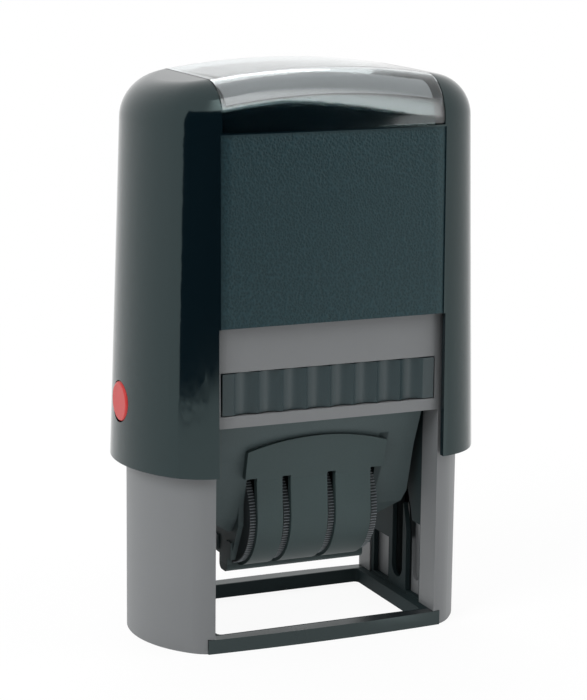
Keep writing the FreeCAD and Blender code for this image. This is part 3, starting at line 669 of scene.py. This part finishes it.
class StampSizes(bpy.types.PropertyGroup):
    figure_height: length_property("Figure height", "Height of the date figures", 3.6)
    figure_relief: length_property("Relief", "How far figures and rules stand up", 0.5)
    rule_width: length_property("Rule width", "Width of the rules on the text plate", 0.45)
    rule_gap: length_property("Rule gap", "Pitch of the rules on the text plate", 1.9)
    rule_inset: length_property("Rule inset", "From the plate's edge to its raised frame", 0.5)
    window_margin: length_property("Window margin", "Play beside the date in the plate", 0.3)
    window_half_depth: length_property("Window depth", "Half depth of the date window", 2.9)
    cap_wall: length_property("Cap wall", "Wall of the clear cap", 0.4)
    felt_crown: length_property("Felt crown", "Height of the crown of the felt", 0.3)
    wire_radius: length_property("Wire radius", "Radius of the spring wire", 0.55)
    wire_sides: IntProperty(name="Wire sides", description="Sides of the spring wire", default=10)
    spring_turns: FloatProperty(name="Turns", description="Turns of the spring", default=5.5)
    steps_per_turn: IntProperty(name="Steps", description="Steps in a turn of the spring",
                                default=36)


class StampStudio(bpy.types.PropertyGroup):
    focal_pixels: FloatProperty(name="Focal length", description="In pixels of the photograph",
                                default=2433.29)
    azimuth: FloatProperty(name="Azimuth", description="Where the camera stands, round the object",
                           default=math.radians(-24.032), subtype="ANGLE", unit="ROTATION")
    elevation: FloatProperty(name="Elevation", description="Height of the camera, as an angle",
                             default=math.radians(11.99), subtype="ANGLE", unit="ROTATION")
    roll: FloatProperty(name="Roll", description="Tilt of the camera", subtype="ANGLE",
                        default=math.radians(0.6575), unit="ROTATION")
    distance: FloatProperty(name="Distance", description="From the camera to the object",
                            default=473.528 * MM, unit="LENGTH")
    aim_side: FloatProperty(name="Aim sideways", description="Shift of the aim to the right",
                            default=-0.0466 * MM, unit="LENGTH")
    aim_height: FloatProperty(name="Aim height", description="Height that the camera aims at",
                              default=53.682 * MM, unit="LENGTH")
    room_light: FloatProperty(name="Room light", description="Strength of the even light",
                              default=0.62)
    front_shade: FloatProperty(name="Front shade", description="How much less of it is in front",
                               default=0.41)
    floor_white: FloatProperty(name="White floor", description="Share of plain white near by",
                               default=0.92)
    floor: colour_property("Floor", "Colour of the floor", (0.93, 0.93, 0.93))
    flag: colour_property("Flag", "Colour of the dark flag", (0.004, 0.012, 0.016))
    flag_start: FloatProperty(name="Flag start", description="Left end of the dark flag",
                              default=math.radians(-66), subtype="ANGLE", unit="ROTATION")
    flag_fade: FloatProperty(name="Flag fade", description="Where the dark flag starts to fade",
                             default=math.radians(28), subtype="ANGLE", unit="ROTATION")
    flag_end: FloatProperty(name="Flag end", description="Right end of the dark flag",
                            default=math.radians(52), subtype="ANGLE", unit="ROTATION")
    flag_near: FloatProperty(name="Flag distance", description="Where the dark flag starts",
                             default=0.295, unit="LENGTH")
    flag_top: FloatProperty(name="Flag height", description="Height of its upright part",
                            default=1.1, unit="LENGTH")
    box_lean: FloatProperty(name="Soft box lean", description="Where the soft box comes down",
                            default=math.radians(26.1), subtype="ANGLE", unit="ROTATION")
    box_top: FloatProperty(name="Soft box height", description="Top of the soft box",
                           default=3.2, unit="LENGTH")
    box_light: FloatProperty(name="Soft box light", description="Strength of the soft box",
                             default=4.0)


# Operators

class STAMP_OT_studio(bpy.types.Operator):
    """Set up the floor, the light and the camera"""

    bl_idname = "stamp.studio"
    bl_label = "Studio"

    def execute(self, context):
        studio = context.scene.stamp_studio
        make_floor(studio)
        hang_flag(studio)
        light_room(studio)
        place_lamps()
        place_camera(studio)
        context.scene.view_settings.view_transform = "Standard"
        return {"FINISHED"}


class STAMP_OT_casing(bpy.types.Operator):
    """Finish the grey base frame and the black ring"""

    bl_idname = "stamp.casing"
    bl_label = "Casing"

    def execute(self, context):
        colours = context.scene.stamp_colours
        dress(["base_frame"], casing_finish(colours))
        dress(["base_ring"], ring_finish(colours))
        return {"FINISHED"}


class STAMP_OT_hood(bpy.types.Operator):
    """Finish the hood and the card, and model the clear cap"""

    bl_idname = "stamp.hood"
    bl_label = "Hood and cap"

    def execute(self, context):
        colours = context.scene.stamp_colours
        dress(["housing_shell"], hood_finish(colours))
        mould_cap(context.scene.stamp_sizes, cap_finish(colours))
        dress(["index_card"], card_finish(colours))
        return {"FINISHED"}


class STAMP_OT_buttons(bpy.types.Operator):
    """Finish the two lock buttons"""

    bl_idname = "stamp.buttons"
    bl_label = "Lock buttons"

    def execute(self, context):
        dress(["lock_button_right", "lock_button_left"],
              button_finish(context.scene.stamp_colours))
        return {"FINISHED"}


class STAMP_OT_mechanism(bpy.types.Operator):
    """Finish the yoke and the pins, and wind the return spring"""

    bl_idname = "stamp.mechanism"
    bl_label = "Yoke, pins and spring"

    def execute(self, context):
        colours = context.scene.stamp_colours
        steel = steel_finish(colours)
        dress(["pivot_pin_right", "pivot_pin_left", "cam_pins", "wheel_axle"], steel)
        dress(["press_yoke"], satin_black_finish("yoke_plastic", colours.ring, 0.3 * MM,
                                                 0.4, 0.02 * MM))
        wind_spring(context.scene.stamp_sizes, steel)
        return {"FINISHED"}


class STAMP_OT_print_unit(bpy.types.Operator):
    """Finish the print unit, its drum cover and the bridge of the bands"""

    bl_idname = "stamp.print_unit"
    bl_label = "Print unit"

    def execute(self, context):
        colours = context.scene.stamp_colours
        dress(["unit_body"], unit_finish(colours))
        dress(["drum_cover", "band_bridge"],
              satin_black_finish("drum_plastic", colours.drum, 0.35 * MM, 0.55, 0.03 * MM, 0.3))
        return {"FINISHED"}


class STAMP_OT_wheels(bpy.types.Operator):
    """Finish the knurled date wheels"""

    bl_idname = "stamp.wheels"
    bl_label = "Date wheels"

    def execute(self, context):
        dress(["thumb_wheel_%d" % number for number in range(1, 5)],
              wheel_finish(context.scene.stamp_colours))
        return {"FINISHED"}


class STAMP_OT_printing(bpy.types.Operator):
    """Model the text plate and the figures, and finish the date bands"""

    bl_idname = "stamp.printing"
    bl_label = "Plate and bands"

    def execute(self, context):
        colours, sizes = context.scene.stamp_colours, context.scene.stamp_sizes
        engrave_plate(sizes, rubber_finish("plate_rubber", colours.plate))
        rubber = rubber_finish("band_rubber", colours.band)
        dress(["date_band_%d" % number for number in range(1, 5)], rubber)
        for number, text in enumerate(DATE_TEXTS, start=1):
            raise_figures(number, text, sizes, rubber)
        return {"FINISHED"}


class STAMP_OT_ink_pad(bpy.types.Operator):
    """Finish the tray of the ink pad and model its felt"""

    bl_idname = "stamp.ink_pad"
    bl_label = "Ink pad"

    def execute(self, context):
        colours = context.scene.stamp_colours
        dress(["ink_pad_tray"], satin_black_finish("pad_tray_plastic", colours.tray, 0.3 * MM,
                                                   0.33, 0.02 * MM))
        crown_felt(context.scene.stamp_sizes, felt_finish(colours))
        return {"FINISHED"}


# Studio

def make_floor(studio):
    start_fresh()
    bpy.ops.mesh.primitive_circle_add(vertices=96, radius=3.0, fill_type="NGON",
                                      location=(0, 0, -0.02 * MM))
    floor = apply_place(bpy.context.object)
    floor.name = "floor"
    made = Finish("pale_floor")
    x, y, z = made.axes()
    far = made.distance(x, y).above(0.2, 0.22)
    paper = made.noise(1.5 * MM, 3.0)
    tone = made.blend(paper, scaled(studio.floor, 0.99), scaled(studio.floor, 1.01))
    lit = made.add("ShaderNodeBsdfDiffuse", None, {"Color": tone})
    white = made.add("ShaderNodeEmission", None, {"Color": (1, 1, 1, 1), "Strength": 1.0})
    factor = far.spread(studio.floor_white, 1.0) * made.direct_ray()
    made.close(made.add("ShaderNodeMixShader", None, {0: factor, 1: lit, 2: white}))
    floor.data.materials.append(made.material)


def hang_flag(studio):
    """A dark flag with a soft box over it, in front of the object, for gloss only."""
    start_fresh()
    bpy.ops.mesh.primitive_circle_add(vertices=180, radius=1.4, fill_type="NOTHING",
                                      location=(0, 0, 0.5 * MM))
    flag = apply_place(bpy.context.object)
    flag.name = "dark_flag"
    bpy.ops.object.mode_set(mode="EDIT")
    bpy.ops.mesh.select_all(action="SELECT")
    bpy.ops.mesh.extrude_edges_move()
    bpy.ops.transform.resize(value=(0.02, 0.02, 1.0), center_override=(0, 0, 0))
    bpy.ops.mesh.select_all(action="INVERT")
    bpy.ops.mesh.extrude_edges_move(
        TRANSFORM_OT_translate={"value": (0, 0, studio.box_top)})
    bpy.ops.object.mode_set(mode="OBJECT")
    start, end = studio.flag_start, studio.flag_end

    def outside(centre, normal):
        return not start < math.atan2(centre.x, -centre.y) < end

    select_faces(flag, outside)
    bpy.ops.mesh.delete(type="FACE")
    bpy.ops.object.mode_set(mode="OBJECT")
    made = Finish("dark_flag")
    x, y, z = made.axes()
    azimuth = made.add("ShaderNodeMath", {"operation": "ARCTAN2"}, {0: x, 1: 0 - y})
    aside = azimuth.above((studio.flag_fade + end) / 2, end - studio.flag_fade)
    near_blur, top_blur, lean_blur = 0.07, 0.2, math.radians(2.8)
    box_left, box_blur = math.radians(-12), math.radians(50)
    near = made.distance(x, y).below(studio.flag_near, near_blur)
    lean = azimuth.above(studio.box_lean, lean_blur) * studio.flag_top
    over = (z + lean).above(studio.flag_top, top_blur)
    fade = 1 - (1 - aside) * (1 - near) * (1 - over)
    tone = made.blend(fade, rgba(studio.flag), (1, 1, 1, 1))
    glow = over * azimuth.above(box_left, box_blur) * (1 - aside)
    strength = glow * (studio.box_light - 1) + 1
    made.close(made.add("ShaderNodeEmission", None, {"Color": tone, "Strength": strength}))
    flag.data.materials.append(made.material)
    flag.visible_camera = False
    flag.visible_diffuse = False
    flag.visible_shadow = False


def light_room(studio):
    """Even light that is weaker in front, and plain white for what sees the room."""
    world = bpy.data.worlds.new("studio_room")
    bpy.context.scene.world = world
    made = NodeTree(world)
    toward_back = made.parts("Generated")[1]
    strength = (toward_back * studio.front_shade + 1) * studio.room_light
    even = made.add("ShaderNodeBackground", None, {"Color": (1, 1, 1, 1), "Strength": strength})
    white = made.add("ShaderNodeBackground", None, {"Color": (1, 1, 1, 1), "Strength": 1.0})
    mix = made.add("ShaderNodeMixShader", None, {0: made.direct_ray(), 1: even, 2: white})
    out = made.tree.nodes.new("ShaderNodeOutputWorld")
    made.tree.links.new(mix.socket, out.inputs["Surface"])


def place_lamps():
    """Soft boxes: one over the left shoulder, one at the right, one behind."""
    lamps = [
        ("key", (-0.95, -0.4, 0.8), 0.7, 8.5),
        ("fill", (0.95, -0.45, 0.5), 0.7, 3.2),
        ("back", (0.2, 0.9, 0.9), 0.7, 4.0),
    ]
    for name, place, size, power in lamps:
        start_fresh()
        bpy.ops.object.light_add(type="AREA", location=place)
        lamp = bpy.context.object
        lamp.name = name
        lamp.data.shape = "DISK"
        lamp.data.size = size
        lamp.data.energy = power
        lamp.visible_glossy = False
        aim = Vector((0, 0, 0.05)) - Vector(place)
        lamp.rotation_euler = aim.to_track_quat("-Z", "Y").to_euler()


def place_camera(studio):
    azimuth, elevation, roll = studio.azimuth, studio.elevation, studio.roll
    ahead = Vector((-math.sin(azimuth) * math.cos(elevation),
                    math.cos(azimuth) * math.cos(elevation), -math.sin(elevation)))
    side = ahead.cross(Vector((0, 0, 1))).normalized()
    up = side.cross(ahead)
    side, up = (side * math.cos(roll) + up * math.sin(roll),
                up * math.cos(roll) - side * math.sin(roll))
    level = ahead.cross(Vector((0, 0, 1))).normalized()
    aim = level * studio.aim_side + Vector((0, 0, studio.aim_height))
    place = aim - ahead * studio.distance
    data = bpy.data.cameras.new("photo_camera")
    camera = bpy.data.objects.new("photo_camera", data)
    bpy.context.scene.collection.objects.link(camera)
    data.sensor_width = SENSOR_WIDTH
    data.lens = studio.focal_pixels * SENSOR_WIDTH / PHOTO_HEIGHT
    data.clip_start = 0.01
    data.clip_end = 50.0
    turn = Matrix((side, up, -ahead)).transposed()
    camera.matrix_world = Matrix.Translation(place) @ turn.to_4x4()
    bpy.context.scene.camera = camera


# Panel and registration

OPERATORS = (
    STAMP_OT_studio,
    STAMP_OT_casing,
    STAMP_OT_hood,
    STAMP_OT_buttons,
    STAMP_OT_mechanism,
    STAMP_OT_print_unit,
    STAMP_OT_wheels,
    STAMP_OT_printing,
    STAMP_OT_ink_pad,
)


class STAMP_PT_sidebar(bpy.types.Panel):
    """Settings and steps of the date stamp"""

    bl_idname = "STAMP_PT_sidebar"
    bl_label = "Date Stamp"
    bl_space_type = "VIEW_3D"
    bl_region_type = "UI"
    bl_category = "Date Stamp"

    def draw(self, context):
        layout = self.layout
        for group in (context.scene.stamp_colours, context.scene.stamp_sizes,
                      context.scene.stamp_studio):
            column = layout.column(align=True)
            for name in group.__annotations__:
                column.prop(group, name)
        for operator in OPERATORS:
            layout.operator(operator.bl_idname)


CLASSES = (StampColours, StampSizes, StampStudio) + OPERATORS + (STAMP_PT_sidebar,)


def register():
    for item in CLASSES:
        bpy.utils.register_class(item)
    bpy.types.Scene.stamp_colours = PointerProperty(type=StampColours)
    bpy.types.Scene.stamp_sizes = PointerProperty(type=StampSizes)
    bpy.types.Scene.stamp_studio = PointerProperty(type=StampStudio)


def unregister():
    del bpy.types.Scene.stamp_studio
    del bpy.types.Scene.stamp_sizes
    del bpy.types.Scene.stamp_colours
    for item in reversed(CLASSES):
        bpy.utils.unregister_class(item)


def main():
    register()
    for operator in OPERATORS:
        group, name = operator.bl_idname.split(".")
        getattr(getattr(bpy.ops, group), name)()


if __name__ == "__main__":
    main()
